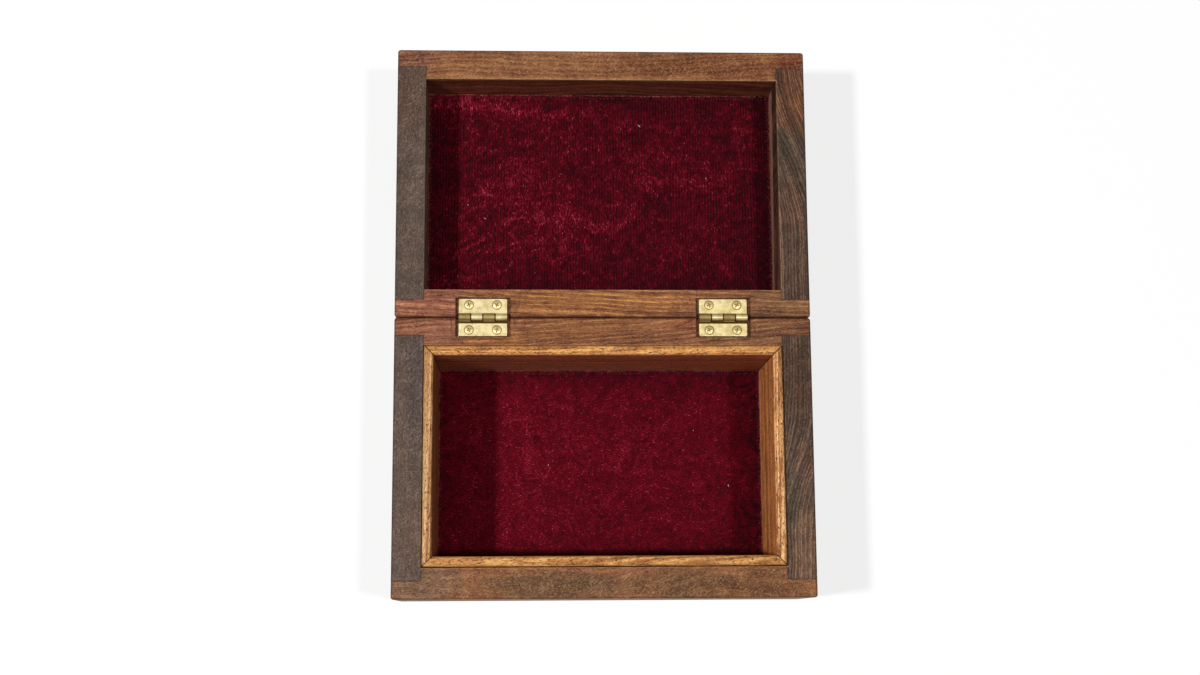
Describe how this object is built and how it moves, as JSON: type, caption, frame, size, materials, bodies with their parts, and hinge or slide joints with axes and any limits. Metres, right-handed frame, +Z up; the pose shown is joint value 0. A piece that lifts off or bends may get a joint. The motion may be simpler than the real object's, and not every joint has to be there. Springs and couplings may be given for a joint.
{
  "type": "wooden jewellery box",
  "caption": "Small rectangular wooden box with rabbeted corners, a hinged lid that opens flat, brass butt hinges, a raised wooden liner and velvet in base and lid.",
  "frame": {"origin": "on the supporting surface, at the bottom centre of the whole part as it lies open flat, which is under the middle of the hinge line", "axes": "+X along the hinge line to the right, +Y from the base towards the opened lid, +Z up out of the base"},
  "size_m": [0.1524, 0.2036, 0.044],
  "materials": {
    "long_board_wood": "reddish brown rosewood, oiled satin",
    "side_board_wood": "dark grey-brown rosewood, oiled satin",
    "panel_wood": "rosewood, oiled satin",
    "liner_wood": "honey-coloured light wood, satin",
    "velvet": "crushed crimson velvet",
    "card": "plain grey-brown board",
    "brass": "pale brass, slightly worn"
  },
  "bodies": {
    "base": {"base_front_board": "long_board_wood", "base_back_board": "long_board_wood", "base_left_board": "side_board_wood", "base_right_board": "side_board_wood", "base_bottom_panel": "panel_wood", "base_liner_front": "liner_wood", "base_liner_back": "liner_wood", "base_liner_left": "liner_wood", "base_liner_right": "liner_wood", "base_velvet_card": "card", "base_velvet": "velvet", "left_hinge_base_leaf": "brass", "left_hinge_pin": "brass", "left_hinge_base_screws": "brass", "right_hinge_base_leaf": "brass", "right_hinge_pin": "brass", "right_hinge_base_screws": "brass"},
    "lid": {"lid_front_board": "long_board_wood", "lid_back_board": "long_board_wood", "lid_left_board": "side_board_wood", "lid_right_board": "side_board_wood", "lid_top_panel": "panel_wood", "lid_velvet_card": "card", "lid_velvet": "velvet", "left_hinge_lid_leaf": "brass", "left_hinge_lid_screws": "brass", "right_hinge_lid_leaf": "brass", "right_hinge_lid_screws": "brass"}
  },
  "joints": [
    {"name": "lid_hinge", "type": "hinge", "parent": "base", "child": "lid", "pos_m": [0, 0, 0.0421], "axis": [1, 0, 0], "range_deg": [0, 180]}
  ]
}
